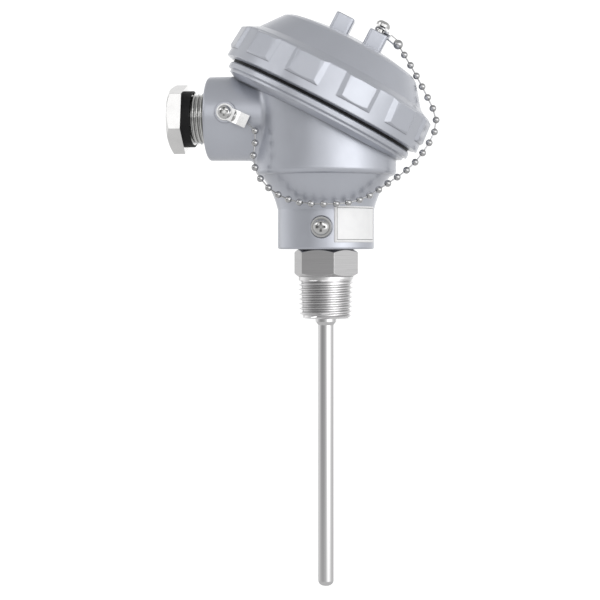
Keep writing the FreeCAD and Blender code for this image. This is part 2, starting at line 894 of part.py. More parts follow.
def sheath_tube():
    tip = sheath_tip_z
    turn = sheath_tip_round
    arc = turn * quarter_arc
    low = tip + sheath_tip_wall
    bore = sheath_radius - sheath_wall
    collar_bottom = thread_end_z - weld_collar_height
    return turned((0, tip), [
        (sheath_radius - turn, tip),
        ((sheath_radius - arc, tip + arc), (sheath_radius, tip + turn)),
        (sheath_radius, collar_bottom - weld_collar_taper),
        (weld_collar_radius, collar_bottom),
        (weld_collar_radius, thread_end_z),
        (sheath_radius, thread_end_z),
        (sheath_radius, nipple_floor_z + sheath_top_stub),
        (bore, nipple_floor_z + sheath_top_stub),
        (bore, low),
        (0, low),
    ])


def element_bottom_z():
    return sheath_tip_z + sheath_tip_wall + element_tip_gap


def rtd_element():
    bottom = element_bottom_z()
    return cylinder(element_radius, bottom, bottom + element_length)


def wire_angles():
    return [360.0 * (number + 0.5) / wire_count for number in range(wire_count)]


def sheath_insulator():
    bottom = element_bottom_z() + element_length
    top = nipple_floor_z + sheath_top_stub - insulator_top_gap
    rod = cylinder(sheath_radius - sheath_wall - insulator_clearance, bottom, top)
    for angle in wire_angles():
        centre = around(FreeCAD.Placement(), angle, wire_circle_radius, bottom - cut_over)
        radius = wire_radius + wire_bore_clearance
        rod = rod.cut(Part.makeCylinder(radius, top - bottom + 2 * cut_over, centre))
    return rod


def lead_wire(angle):
    """Straight up from the element, one bend over the block and straight into the clamp."""
    bottom = element_bottom_z() + element_length
    bend = wire_bend_radius
    turn_z = wire_level_z - bend
    centre = V(wire_circle_radius + bend, 0, turn_z)
    riser = Part.makeCylinder(wire_radius, turn_z - bottom, V(wire_circle_radius, 0, bottom))
    rim = Part.Circle(V(wire_circle_radius, 0, turn_z), V(0, 0, 1), wire_radius).toShape()
    section = Part.Face(Part.Wire(rim))
    elbow = section.revolve(centre, V(0, 1, 0), 90)
    length = terminal_inner_radius + wire_grip - centre.x
    run = Part.makeCylinder(wire_radius, length, V(centre.x, 0, wire_level_z), V(1, 0, 0))
    wire = fused([riser, elbow, run])
    wire.rotate(V(0, 0, 0), V(0, 0, 1), angle)
    return wire


# Terminal block

def terminal_block():
    top = block_top_z
    edge = block_edge_chamfer
    disc = turned((block_hole_radius, block_seat_z), [
        (block_radius, block_seat_z),
        (block_radius, top - edge),
        (block_radius - edge, top),
        (block_hole_radius, top),
    ])
    for side in (-1, 1):
        centre = V(0, side * block_screw_spacing / 2, block_seat_z - cut_over)
        radius = block_screw_radius + block_screw_clearance
        disc = disc.cut(Part.makeCylinder(radius, block_thickness + 2 * cut_over, centre))
    return disc


def slotted_screw(shank_radius, shank_length, head_radius, head_height):
    """A cheese-head screw along Z with one slot, its head standing on height zero."""
    slot = Part.makeBox(3 * head_radius, cross_slot_width, cross_slot_depth + 1,
                        V(-1.5 * head_radius, -cross_slot_width / 2, head_height - cross_slot_depth))
    return fused([cylinder(shank_radius, -shank_length, 0), cylinder(head_radius, 0, head_height)]).cut(slot)


def block_screws():
    screws = []
    for side in (-1, 1):
        screw = slotted_screw(block_screw_radius, block_screw_depth + block_thickness,
                              block_screw_head_radius, block_screw_head_height)
        screws.append(placed(screw, along(V(0, side * block_screw_spacing / 2, block_top_z), V(0, 0, 1))))
    return screws


def terminal_screw_places():
    return [terminal_inner_radius + terminal_screw_inset,
            terminal_inner_radius + terminal_length - terminal_screw_inset]


def terminal():
    corner = V(terminal_inner_radius, -terminal_width / 2, block_top_z)
    body = Part.makeBox(terminal_length, terminal_width, terminal_height, corner)
    way = Part.makeCylinder(terminal_hole_radius, terminal_length + 2 * cut_over,
                            V(terminal_inner_radius - cut_over, 0, wire_level_z), V(1, 0, 0))
    body = body.cut(way)
    depth = terminal_screw_length + terminal_screw_end_gap
    for x in terminal_screw_places():
        foot = V(x, 0, block_top_z + terminal_height - depth)
        body = body.cut(Part.makeCylinder(terminal_screw_radius + screw_hole_clearance, depth + 1, foot))
    return body


def terminal_screw(x):
    screw = slotted_screw(terminal_screw_radius, terminal_screw_length,
                          terminal_screw_head_radius, terminal_screw_head_height)
    screw.translate(V(x, 0, block_top_z + terminal_height))
    return screw


def spread(shape):
    """One copy of a shape at each wire's angle."""
    copies = []
    for angle in wire_angles():
        copy = shape.copy()
        copy.rotate(V(0, 0, 0), V(0, 0, 1), angle)
        copies.append(copy)
    return copies


def terminal_screws():
    screws = []
    for x in terminal_screw_places():
        screws += spread(terminal_screw(x))
    return screws


def export(name, shape):
    if isinstance(shape, list):
        shape = Part.makeCompound(shape)
    shape.exportStep("parts/" + name + ".step")


def main():
    os.makedirs("parts", exist_ok=True)
    export("head_body", head_body())
    export("screw_cap", screw_cap())
    export("cap_gasket", cap_gasket())
    export("cap_chain_screw", cap_chain_screw())
    export("cap_chain_tab", cap_chain_tab())
    export("boss_chain_tab", boss_chain_tab())
    export("boss_chain_screw", boss_chain_screw())
    beads, links = chain_pieces()
    export("upper_chain_beads", beads[:upper_bead_count])
    export("upper_chain_links", links[:upper_bead_count])
    export("lower_chain_beads", beads[upper_bead_count:])
    export("lower_chain_links", links[upper_bead_count:])
    export("gland_screw", gland_screw())
    export("gland_seal_ring", gland_seal_ring())
    export("gland_washer", gland_washer())
    export("gland_grommet", gland_grommet())
    export("earth_washer", earth_washer())
    export("earth_screw", earth_screw())
    export("hex_nipple", hex_nipple())
    export("sheath_tube", sheath_tube())
    export("rtd_element", rtd_element())
    export("sheath_insulator", sheath_insulator())
    export("lead_wires", [lead_wire(angle) for angle in wire_angles()])
    export("terminal_block", terminal_block())
    export("block_screws", block_screws())
    export("terminals", spread(terminal()))
    export("terminal_screws", terminal_screws())


main()
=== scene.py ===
import bmesh
import bpy
import math
from mathutils import Matrix, Vector


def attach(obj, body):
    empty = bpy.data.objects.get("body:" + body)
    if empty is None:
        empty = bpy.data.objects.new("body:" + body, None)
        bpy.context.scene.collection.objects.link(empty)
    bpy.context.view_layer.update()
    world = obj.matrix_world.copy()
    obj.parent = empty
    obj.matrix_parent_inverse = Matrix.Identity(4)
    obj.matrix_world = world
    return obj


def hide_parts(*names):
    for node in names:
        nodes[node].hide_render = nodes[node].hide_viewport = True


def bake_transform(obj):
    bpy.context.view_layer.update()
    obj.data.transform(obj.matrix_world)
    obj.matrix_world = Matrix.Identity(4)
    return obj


MM = 0.001
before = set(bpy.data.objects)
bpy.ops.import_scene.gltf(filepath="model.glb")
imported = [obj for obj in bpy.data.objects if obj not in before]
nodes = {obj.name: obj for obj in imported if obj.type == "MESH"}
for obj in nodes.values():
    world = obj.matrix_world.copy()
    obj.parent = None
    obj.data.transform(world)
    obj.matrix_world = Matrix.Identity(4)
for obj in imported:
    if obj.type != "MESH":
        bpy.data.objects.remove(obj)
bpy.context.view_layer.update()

# Sizes repeated from the part, in millimetres and degrees.
NIPPLE_FLATS = 22.0
NIPPLE_HEX_TOP = 10.5
NIPPLE_TURN = -10.7
NIPPLE_TOP = 22.5
NIPPLE_TOP_RADIUS = 10.4
NIPPLE_BORE_RADIUS = 7.0
NIPPLE_FLOOR = 4.0
SHEATH_HOLE_RADIUS = 3.03
PROCESS_RADIUS = 10.6
PROCESS_END = -15.9
PROCESS_TAPER = 1.0 / 32.0
PROCESS_END_CHAMFER = 1.5
GLAND_FLATS = 24.0
GLAND_HEX_LENGTH = 5.8
GLAND_TURN = 10.0
GLAND_RADIUS = 10.0
GLAND_PITCH = 1.5
GLAND_END_CHAMFER = 1.0
GLAND_BORE_RADIUS = 6.0
GLAND_BORE_CHAMFER = 0.8
GLAND_BACK_X = -54.5
GLAND_END_X = -36.4
BOSS_Z = 61.0
NECK_RADIUS = 18.5
LID_TILT = 27.5
LID = (-2.2, 0.0, 64.9)
COLLAR_RADIUS = 34.5
CAP_PITCH = 2.0
SWIVEL = (21.077, 0.458, 94.27)
STRIP_THICKNESS = 0.6
STRIP_EYE_RADIUS = 2.4
CLASP_RADIUS = 1.9
BEAD_RADIUS = 1.35


# Materials

class Surface:
    """A Principled surface and the small nodes that feed it, in the object's own coordinates in metres."""

    def __init__(self, name, color, roughness, metallic=0.0):
        self.material = bpy.data.materials.new(name)
        self.material.use_nodes = True
        self.tree = self.material.node_tree
        self.tree.nodes.clear()
        output = self.tree.nodes.new("ShaderNodeOutputMaterial")
        self.shader = self.tree.nodes.new("ShaderNodeBsdfPrincipled")
        self.tree.links.new(self.shader.outputs["BSDF"], output.inputs["Surface"])
        self.shader.inputs["Base Color"].default_value = (*color, 1.0)
        self.shader.inputs["Roughness"].default_value = roughness
        self.shader.inputs["Metallic"].default_value = metallic
        self.coordinates = self.tree.nodes.new("ShaderNodeTexCoord").outputs["Object"]
        self.normal = None

    def link(self, output, target):
        self.tree.links.new(output, target)

    def coat(self, weight, roughness):
        self.shader.inputs["Coat Weight"].default_value = weight
        self.shader.inputs["Coat Roughness"].default_value = roughness

    def noise(self, scale, detail=3.0, stretch=(1.0, 1.0, 1.0)):
        """Noise with so many cells to the metre."""
        mapping = self.tree.nodes.new("ShaderNodeMapping")
        mapping.inputs["Scale"].default_value = [scale * part for part in stretch]
        self.link(self.coordinates, mapping.inputs["Vector"])
        noise = self.tree.nodes.new("ShaderNodeTexNoise")
        noise.inputs["Scale"].default_value = 1.0
        noise.inputs["Detail"].default_value = detail
        self.link(mapping.outputs["Vector"], noise.inputs["Vector"])
        return noise.outputs["Fac"]

    def ramp(self, value, low, high, start=0.3, end=0.7):
        ramp = self.tree.nodes.new("ShaderNodeMapRange")
        ramp.inputs["From Min"].default_value = start
        ramp.inputs["From Max"].default_value = end
        ramp.inputs["To Min"].default_value = low
        ramp.inputs["To Max"].default_value = high
        self.link(value, ramp.inputs["Value"])
        return ramp.outputs["Result"]

    def vary_color(self, value, low, high):
        mix = self.tree.nodes.new("ShaderNodeMix")
        mix.data_type = "RGBA"
        mix.inputs["A"].default_value = (*low, 1.0)
        mix.inputs["B"].default_value = (*high, 1.0)
        self.link(self.ramp(value, 0.0, 1.0), mix.inputs["Factor"])
        self.link(mix.outputs["Result"], self.shader.inputs["Base Color"])

    def paint_corner_shade(self, reach_mm, least, only_local=False):
        """Painted shade where surfaces meet in a hollow: ambient occlusion darkens the base colour; it
        follows vary_color.
        """
        hollow = self.tree.nodes.new("ShaderNodeAmbientOcclusion")
        hollow.samples = 8
        hollow.only_local = only_local
        hollow.inputs["Distance"].default_value = reach_mm * MM
        shade = self.tree.nodes.new("ShaderNodeMix")
        shade.data_type = "RGBA"
        shade.blend_type = "MULTIPLY"
        shade.inputs["Factor"].default_value = 1.0
        self.link(self.shader.inputs["Base Color"].links[0].from_socket, shade.inputs["A"])
        self.link(self.ramp(hollow.outputs["AO"], least, 1.0, start=0.25, end=0.85), shade.inputs["B"])
        self.link(shade.outputs["Result"], self.shader.inputs["Base Color"])

    def vary_roughness(self, value, low, high):
        self.link(self.ramp(value, low, high), self.shader.inputs["Roughness"])

    def soften_edges(self, radius_mm):
        bevel = self.tree.nodes.new("ShaderNodeBevel")
        bevel.samples = 6
        bevel.inputs["Radius"].default_value = radius_mm * MM
        self.normal = bevel.outputs["Normal"]
        self.link(self.normal, self.shader.inputs["Normal"])

    def bump(self, value, depth_mm, strength):
        bump = self.tree.nodes.new("ShaderNodeBump")
        bump.inputs["Strength"].default_value = strength
        bump.inputs["Distance"].default_value = depth_mm * MM
        self.link(value, bump.inputs["Height"])
        if self.normal:
            self.link(self.normal, bump.inputs["Normal"])
        self.normal = bump.outputs["Normal"]
        self.link(self.normal, self.shader.inputs["Normal"])


def dimmed(color, share):
    return [part * share for part in color]


def paint():
    """Blue-grey metallic enamel over a cast skin: satin sheen, fine orange peel, a thin clear coat, and
    painted shade in its creases and under overhangs.
    """
    surface = Surface("blue_grey_paint", (0.57, 0.59, 0.65), roughness=0.36, metallic=0.66)
    surface.coat(weight=0.4, roughness=0.12)
    surface.soften_edges(0.55)
    surface.vary_color(surface.noise(55.0, detail=4.0), (0.545, 0.565, 0.62), (0.575, 0.595, 0.655))
    # Painted shade in the narrow creases and steps of each casting.
    surface.paint_corner_shade(reach_mm=0.9, least=0.5, only_local=True)
    # Painted shade where parts overhang or meet, as under the flange on the boss.
    surface.paint_corner_shade(reach_mm=7.0, least=0.8)
    surface.vary_roughness(surface.noise(160.0), 0.33, 0.41)
    surface.bump(surface.noise(420.0, detail=2.0), depth_mm=0.03, strength=0.5)
    surface.bump(surface.noise(1900.0, detail=2.0), depth_mm=0.008, strength=0.6)
    return surface.material


def bright_metal(name, color, roughness, edge_mm=0.0, least=0.12):
    """Smooth plated or polished metal; least says how dark the painted shade in its hollows gets."""
    surface = Surface(name, color, roughness, metallic=1.0)
    if edge_mm:
        surface.soften_edges(edge_mm)
    surface.vary_color(surface.noise(220.0), dimmed(color, 0.93), color)
    # Painted shade in the hollows.
    surface.paint_corner_shade(reach_mm=1.0, least=least)
    surface.vary_roughness(surface.noise(900.0), roughness * 0.8, roughness * 1.3)
    surface.bump(surface.noise(2600.0, detail=2.0), depth_mm=0.004, strength=0.5)
    return surface.material


def turned_metal(name, color, roughness, lines, edge_mm=0.0, depth_mm=0.012, least=1.0):
    """Metal with fine tool lines: lines says how quickly they change along each axis; least below 1 paints
    shade into its hollows.
    """
    surface = Surface(name, color, roughness, metallic=1.0)
    if edge_mm:
        surface.soften_edges(edge_mm)
    grain = surface.noise(1.0, detail=4.0, stretch=lines)
    surface.vary_color(grain, dimmed(color, 0.9), color)
    # Painted shade in the hollows.
    if least < 1.0:
        surface.paint_corner_shade(reach_mm=1.0, least=least)
    surface.vary_roughness(grain, roughness * 0.75, roughness * 1.3)
    surface.bump(grain, depth_mm, strength=0.5)
    return surface.material


def rubber():
    color = (0.009, 0.009, 0.010)
    surface = Surface("black_rubber", color, roughness=0.55)
    surface.shader.inputs["Specular IOR Level"].default_value = 0.25
    surface.vary_color(surface.noise(700.0), dimmed(color, 0.7), color)
    surface.vary_roughness(surface.noise(900.0), 0.45, 0.65)
    surface.bump(surface.noise(1500.0), depth_mm=0.03, strength=0.5)
    return surface.material


def ceramic():
    surface = Surface("glazed_ceramic", (0.84, 0.82, 0.76), roughness=0.3)
    surface.soften_edges(0.3)
    surface.vary_color(surface.noise(400.0), (0.80, 0.78, 0.71), (0.86, 0.84, 0.78))
    surface.vary_roughness(surface.noise(300.0), 0.24, 0.38)
    surface.bump(surface.noise(1400.0), depth_mm=0.02, strength=0.4)
    return surface.material


def wire():
    surface = Surface("wire_jacket", (0.80, 0.78, 0.73), roughness=0.5)
    surface.vary_color(surface.noise(600.0), (0.74, 0.72, 0.67), (0.82, 0.80, 0.76))
    weave = surface.noise(1.0, detail=2.0, stretch=(900.0, 900.0, 4000.0))
    surface.bump(weave, depth_mm=0.02, strength=0.5)
    return surface.material


def label_white():
    surface = Surface("label_white", (0.93, 0.93, 0.93), roughness=0.28)
    surface.coat(weight=0.5, roughness=0.08)
    surface.vary_color(surface.noise(300.0), (0.91, 0.91, 0.915), (0.95, 0.95, 0.95))
    surface.bump(surface.noise(900.0), depth_mm=0.01, strength=0.4)
    return surface.material


def label_border():
    surface = Surface("label_border", (0.10, 0.102, 0.108), roughness=0.35)
    surface.vary_color(surface.noise(1200.0), (0.085, 0.087, 0.09), (0.12, 0.122, 0.128))
    return surface.material


# Tool lines, in changes to the metre along X, Y and Z.
RINGS = (60.0, 60.0, 5200.0)
LENGTHWISE = (2600.0, 2600.0, 18.0)
ALL_WAYS = (1500.0, 1500.0, 1500.0)

PAINT = paint()
# Each least sets how dark that metal's painted shade in its hollows gets.
NICKEL = bright_metal("bright_nickel", (0.82, 0.815, 0.81), 0.10, edge_mm=0.2, least=0.6)
# The thread's copy of the nickel: a little lighter for painted light on its crests, with deep painted shade
# in its roots.
NICKEL_THREAD_LIT_AND_SHADED = bright_metal("nickel_thread_lit_and_shaded", (0.84, 0.84, 0.83), 0.14)
# The chain's nickel is a darker copy of the bright nickel: painted shade for the darker things its balls
# reflect, and its holes get deep painted shade.
SHADED_CHAIN = bright_metal("chain_nickel_shaded", (0.52, 0.52, 0.525), 0.06)
STRIP = bright_metal("strip_nickel", (0.80, 0.80, 0.80), 0.16, edge_mm=0.05, least=0.5)
# Painted shade makes the screws' cross recesses and the seats under their heads nearly black.
ZINC = bright_metal("zinc_screw", (0.66, 0.66, 0.655), 0.09, edge_mm=0.1, least=0.03)
STAINLESS = turned_metal("turned_stainless", (0.67, 0.665, 0.67), 0.13, RINGS, edge_mm=0.2)
# The thread's copy of the stainless: much lighter than the hex for painted light on the thread, with
# painted shade in its roots.
STAINLESS_THREAD_LIT_AND_SHADED = turned_metal("stainless_thread_lit_and_shaded", (0.84, 0.835, 0.84), 0.17, RINGS, least=0.5)
DRAWN = turned_metal("drawn_stainless", (0.70, 0.695, 0.70), 0.065, LENGTHWISE, depth_mm=0.005)
BRASS = turned_metal("turned_brass", (0.72, 0.55, 0.28), 0.25, ALL_WAYS, edge_mm=0.15)
RUBBER = rubber()
CERAMIC = ceramic()
WIRE = wire()

FINISHES = {
    "head_body": PAINT, "screw_cap": PAINT,
    "cap_gasket": RUBBER, "gland_seal_ring": RUBBER, "gland_grommet": RUBBER,
    "gland_washer": NICKEL, "gland_screw": NICKEL,
    "cap_chain_screw": ZINC, "boss_chain_screw": ZINC, "earth_screw": ZINC, "earth_washer": ZINC,
    "block_screws": ZINC,
    "cap_chain_tab": STRIP, "boss_chain_tab": STRIP,
    "upper_chain_beads": SHADED_CHAIN, "upper_chain_links": SHADED_CHAIN,
    "lower_chain_beads": SHADED_CHAIN, "lower_chain_links": SHADED_CHAIN,
    "hex_nipple": STAINLESS, "sheath_tube": DRAWN,
    "rtd_element": CERAMIC, "sheath_insulator": CERAMIC, "terminal_block": CERAMIC,
    "lead_wires": WIRE,
    "terminals": BRASS, "terminal_screws": BRASS,
}


def dress_nodes():
    for name, material in FINISHES.items():
        for place in nodes[name].material_slots:
            place.material = material


# Mesh helpers, all in millimetres

def piece_from(mesh_data, name, materials, place=Matrix(), sharp_degrees=30.0):
    """Turns a bmesh in millimetres into an object in metres with smooth faces and sharp creases."""
    same_place = 1e-5
    no_area = 1e-10
    bmesh.ops.remove_doubles(mesh_data, verts=mesh_data.verts, dist=same_place)
    loose = [face for face in mesh_data.faces if face.calc_area() < no_area]
    bmesh.ops.delete(mesh_data, geom=loose, context="FACES")
    bmesh.ops.recalc_face_normals(mesh_data, faces=mesh_data.faces)
    for face in mesh_data.faces:
        face.smooth = True
    for edge in mesh_data.edges:
        if len(edge.link_faces) == 2:
            edge.smooth = edge.calc_face_angle(0.0) < math.radians(sharp_degrees)
    bmesh.ops.transform(mesh_data, matrix=Matrix.Scale(MM, 4) @ place, verts=mesh_data.verts)
    mesh = bpy.data.meshes.new(name)
    mesh_data.to_mesh(mesh)
    mesh_data.free()
    for material in materials:
        mesh.materials.append(material)
    piece = bpy.data.objects.new(name, mesh)
    bpy.context.scene.collection.objects.link(piece)
    return piece


def polar(radius, angle, height):
    return Vector((radius * math.cos(angle), radius * math.sin(angle), height))


def facing(centre, direction):
    """The place of something that is turned round Z, once its Z axis points in a direction."""
    turn = Vector((0, 0, 1)).rotation_difference(direction)
    return Matrix.Translation(centre) @ turn.to_matrix().to_4x4()


def smooth_step(value):
    value = min(max(value, 0.0), 1.0)
    return value * value * (3 - 2 * value)


def bridge(mesh_data, rings):
    """Faces between each closed ring of vertices and the next."""
    for low, high in zip(rings, rings[1:]):
        count = len(low)
        for number in range(count):
            other = (number + 1) % count
            mesh_data.faces.new((low[number], low[other], high[other], high[number]))


def add_rims(mesh_data, count, turn, rims):
    """Joined rings of vertices; each rim gives (radius, height) at an angle."""
    rings = []
    for rim in rims:
        ring = []
        for number in range(count):
            angle = 2 * math.pi * number / count + turn
            radius, height = rim(angle)
            ring.append(mesh_data.verts.new(polar(radius, angle, height)))
        rings.append(ring)
    bridge(mesh_data, rings)


def add_turned(mesh_data, profile, place, count):
    """A profile of (radius, height) turned round the Z axis of its place."""
    rings = []
    for radius, height in profile:
        angles = [2 * math.pi * number / count for number in range(count)]
        rings.append([mesh_data.verts.new(place @ polar(radius, angle, height)) for angle in angles])
    bridge(mesh_data, rings)


def plain(radius, height):
    return lambda angle: (radius, height)


def hex_rims(flats, height, turn, chamfer_bottom):
    """The rims of a hexagon on height 0, with its corners turned off, so that each flat ends in an arc."""
    chamfer_angle = 30.0
    reach = 1.3
    corner = flats / 2 / math.cos(math.pi / 6)
    rim = corner - (corner - flats / 2) * reach
    slope = math.tan(math.radians(chamfer_angle))

    def radius_at(angle):
        away = (angle - turn) % (math.pi / 3) - math.pi / 6
        return flats / 2 / math.cos(away)

    def cut_at(angle):
        return (radius_at(angle) - rim) * slope

    if chamfer_bottom:
        rims = [plain(rim, 0.0), lambda angle: (radius_at(angle), cut_at(angle))]
    else:
        rims = [lambda angle: (radius_at(angle), 0.0)]
    return rims + [lambda angle: (radius_at(angle), height - cut_at(angle)), plain(rim, height)]


# A thread's section over one pitch: (share of the pitch, share of the depth).
THREAD_PROFILE = ((0.10, 1.0), (0.44, 0.0), (0.56, 0.0), (0.90, 1.0))
THREAD_STEPS = 144
# How far inside the thread's outline a hexagon's face starts.
UNDER_THREAD = 0.2


def add_thread(mesh_data, count, pitch, bottom, top, radius_at, depth_at):
    """A right-handed thread between two heights; it ends on plain rings, where its depth is nothing."""
    turns = math.ceil((top - bottom) / pitch) + 2
    columns = []
    for number in range(count):
        angle = 2 * math.pi * number / count
        column = []
        for turn in range(turns):
            for share, dip in THREAD_PROFILE:
                height = bottom - pitch + (turn + share + number / count) * pitch
                height = min(max(height, bottom), top)
                radius = radius_at(height) - dip * depth_at(height)
                column.append(mesh_data.verts.new(polar(radius, angle, height)))
        columns.append(column)
    step = len(THREAD_PROFILE)
    rows = turns * step
    for number in range(count):
        here = columns[number]
        last = number == count - 1
        there = columns[0] if last else columns[number + 1]
        shift = step if last else 0
        for row in range(rows - 1 - shift):
            corners = (here[row], there[row + shift], there[row + shift + 1], here[row + 1])
            mesh_data.faces.new(corners)


def mark_thread(mesh_data):
    """Gives the second material to the faces whose middle lies below the hexagon's face, at height 0."""
    just_below = -0.01
    for face in mesh_data.faces:
        face.material_index = 1 if face.calc_center_median().z < just_below else 0


# Pieces with their real threads

def threaded_nipple():
    """The hex nipple with its real taper thread, which fades out under the hex."""
    mesh_data = bmesh.new()
    pitch = 1.814
    depth = 1.1
    end = PROCESS_END
    top = -0.2
    end_slope = 1.6
    plain_length, top_fade, end_fade = 0.1, 2.6, 0.5
    turn = math.radians(NIPPLE_TURN)

    def radius_at(height):
        taper = PROCESS_RADIUS + PROCESS_TAPER * height
        return min(taper, taper - PROCESS_END_CHAMFER + (height - end) * end_slope)

    def depth_at(height):
        under_hex = smooth_step((-height - plain_length) / top_fade)
        return depth * under_hex * smooth_step((height - end) / end_fade)

    add_thread(mesh_data, THREAD_STEPS, pitch, end, top, radius_at, depth_at)
    add_rims(mesh_data, THREAD_STEPS, 0.0, [plain(SHEATH_HOLE_RADIUS, end), plain(radius_at(end), end)])
    add_rims(mesh_data, THREAD_STEPS, 0.0, [plain(radius_at(top), top), plain(PROCESS_RADIUS, 0.0)])
    add_rims(mesh_data, THREAD_STEPS, turn, [
        plain(PROCESS_RADIUS - UNDER_THREAD, 0.0),
        *hex_rims(NIPPLE_FLATS, NIPPLE_HEX_TOP, turn, chamfer_bottom=True),
        plain(NIPPLE_TOP_RADIUS, NIPPLE_HEX_TOP),
        plain(NIPPLE_TOP_RADIUS, NIPPLE_TOP),
        plain(NIPPLE_BORE_RADIUS, NIPPLE_TOP),
        plain(NIPPLE_BORE_RADIUS, NIPPLE_FLOOR),
        plain(SHEATH_HOLE_RADIUS, NIPPLE_FLOOR),
    ])
    mark_thread(mesh_data)
    piece = piece_from(mesh_data, "nipple_with_thread", [STAINLESS, STAINLESS_THREAD_LIT_AND_SHADED])
    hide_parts("hex_nipple")
    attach(piece, "head")


def threaded_gland():
    """The gland screw with its real thread, laid along -X."""
    mesh_data = bmesh.new()
    depth = 0.95
    fade = 0.6
    turn = math.radians(GLAND_TURN)
    inner = GLAND_BACK_X - GLAND_END_X

    def radius_at(height):
        return min(GLAND_RADIUS, GLAND_RADIUS - GLAND_END_CHAMFER + (height - inner))

    def depth_at(height):
        return depth * smooth_step((height - inner) / fade) * smooth_step(-height / fade)

    add_thread(mesh_data, THREAD_STEPS, GLAND_PITCH, inner, 0.0, radius_at, depth_at)
    add_rims(mesh_data, THREAD_STEPS, turn, [
        plain(GLAND_RADIUS - UNDER_THREAD, 0.0),
        *hex_rims(GLAND_FLATS, GLAND_HEX_LENGTH, turn, chamfer_bottom=False),
        plain(GLAND_BORE_RADIUS + GLAND_BORE_CHAMFER, GLAND_HEX_LENGTH),
        plain(GLAND_BORE_RADIUS, GLAND_HEX_LENGTH - GLAND_BORE_CHAMFER),
        plain(GLAND_BORE_RADIUS, inner),
        plain(radius_at(inner), inner),
    ])
    mark_thread(mesh_data)
    place = facing((GLAND_BACK_X, 0.0, BOSS_Z), Vector((-1, 0, 0)))
    piece = piece_from(mesh_data, "gland_with_thread", [NICKEL, NICKEL_THREAD_LIT_AND_SHADED], place)
    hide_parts("gland_screw")
    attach(piece, "gland")


def collar_thread():
    """The low coarse thread that the cap screws on, raised on the collar."""
    mesh_data = bmesh.new()
    steps = 180
    depth = 0.3
    root_below = 0.05
    bottom, top = 0.8, 7.2
    fade = 0.8

    def depth_at(height):
        return depth * smooth_step((height - bottom) / fade) * smooth_step((top - height) / fade)

    def radius_at(height):
        return COLLAR_RADIUS - root_below + depth_at(height)

    add_thread(mesh_data, steps, CAP_PITCH, bottom, top, radius_at, depth_at)
    place = Matrix.Translation(LID) @ Matrix.Rotation(math.radians(LID_TILT), 4, "Y")
    piece = piece_from(mesh_data, "collar_thread", [PAINT], place)
    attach(piece, "head")


# Ball chain

def islands(node_name):
    """The separate solids of a CAD node, each as a list of points in millimetres."""
    mesh_data = bmesh.new()
    mesh_data.from_mesh(nodes[node_name].data)
    bmesh.ops.remove_doubles(mesh_data, verts=mesh_data.verts, dist=1e-6)
    seen = set()
    groups = []
    for vertex in mesh_data.verts:
        if vertex in seen:
            continue
        group = []
        stack = [vertex]
        seen.add(vertex)
        while stack:
            here = stack.pop()
            group.append(here.co / MM)
            for edge in here.link_edges:
                other = edge.other_vert(here)
                if other not in seen:
                    seen.add(other)
                    stack.append(other)
        groups.append(group)
    mesh_data.free()
    return groups


def middle(points):
    return sum(points, Vector()) / len(points)


def highest(points):
    return max(points, key=lambda point: point.z)


def in_order(points, first):
    """The points as they follow each other, starting next to first."""
    left = list(points)
    chain = []
    here = first
    while left:
        nearest = min(left, key=lambda point: (point - here).length)
        left.remove(nearest)
        chain.append(nearest)
        here = nearest
    return chain


def bead_profile(radius):
    """A hollow ball pressed from strip, with a small rolled lip round each hole."""
    mouth_share = 0.42
    hole_share, lip_share = 0.55, 0.8
    lip_inside, lip_outside = 0.22, 0.02
    steps = 9
    mouth = radius * mouth_share
    start = math.asin(mouth / radius)
    edge = -radius * math.cos(start)
    lip = [(mouth * hole_share, edge + lip_inside), (mouth * lip_share, edge - lip_outside)]
    ball = []
    for step in range(steps + 1):
        angle = start + (math.pi - 2 * start) * step / steps
        ball.append((radius * math.sin(angle), -radius * math.cos(angle)))
    return lip + ball + [(across, -height) for across, height in reversed(lip)]


def rod_profile(length):
    radius, tip_radius, tip = 0.28, 0.05, 0.02
    return [(tip_radius, 0.0), (radius, tip), (radius, length - tip), (tip_radius, length)]


def chain_piece(name, centres, radii, ends):
    """Beads on their centres, and a rod through each gap and out to each end point."""
    mesh_data = bmesh.new()
    bead_sides, rod_sides = 24, 10
    for number, centre in enumerate(centres):
        before = centres[number - 1] if number else (ends[0] or centre)
        after = centres[number + 1] if number + 1 < len(centres) else (ends[1] or centre)
        place = facing(centre, (after - before).normalized())
        add_turned(mesh_data, bead_profile(radii[number]), place, bead_sides)
    line = [point for point in (ends[0], *centres, ends[1]) if point]
    for here, there in zip(line, line[1:]):
        way = there - here
        add_turned(mesh_data, rod_profile(way.length), facing(here, way.normalized()), rod_sides)
    piece = piece_from(mesh_data, name, [SHADED_CHAIN], sharp_degrees=50.0)
    return piece


def ball_chain():
    """The chain in three lengths: at the cap's strip, beside the cap, and round the head to the boss."""
    near_cap = 5
    first_rod = 2.1
    upper = [middle(group) for group in islands("upper_chain_beads")]
    lower = [middle(group) for group in islands("lower_chain_beads")]
    upper = in_order(upper, highest(upper))
    lower = in_order(lower, upper[-1])
    first = upper[0] + (upper[0] - upper[1]).normalized() * first_rod
    strip = middle(islands("boss_chain_tab")[0])
    last_link = min(islands("lower_chain_links"), key=lambda group: (middle(group) - strip).length)
    last = max(last_link, key=lambda point: (point - lower[-1]).length)
    radii = [CLASP_RADIUS] + [BEAD_RADIUS] * (len(upper) - 1)
    at_cap = chain_piece("chain_at_cap", upper[:near_cap], radii[:near_cap], (first, upper[near_cap]))
    beside = chain_piece("chain_beside_cap", upper[near_cap:], radii[near_cap:], (None, lower[0]))
    round_head = chain_piece("chain_round_head", lower, [BEAD_RADIUS] * len(lower), (None, last))
    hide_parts("upper_chain_beads", "upper_chain_links")
    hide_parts("upper_chain_beads", "upper_chain_links")
    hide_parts("lower_chain_beads", "lower_chain_links")
    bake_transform(at_cap)
    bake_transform(beside)
    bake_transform(round_head)


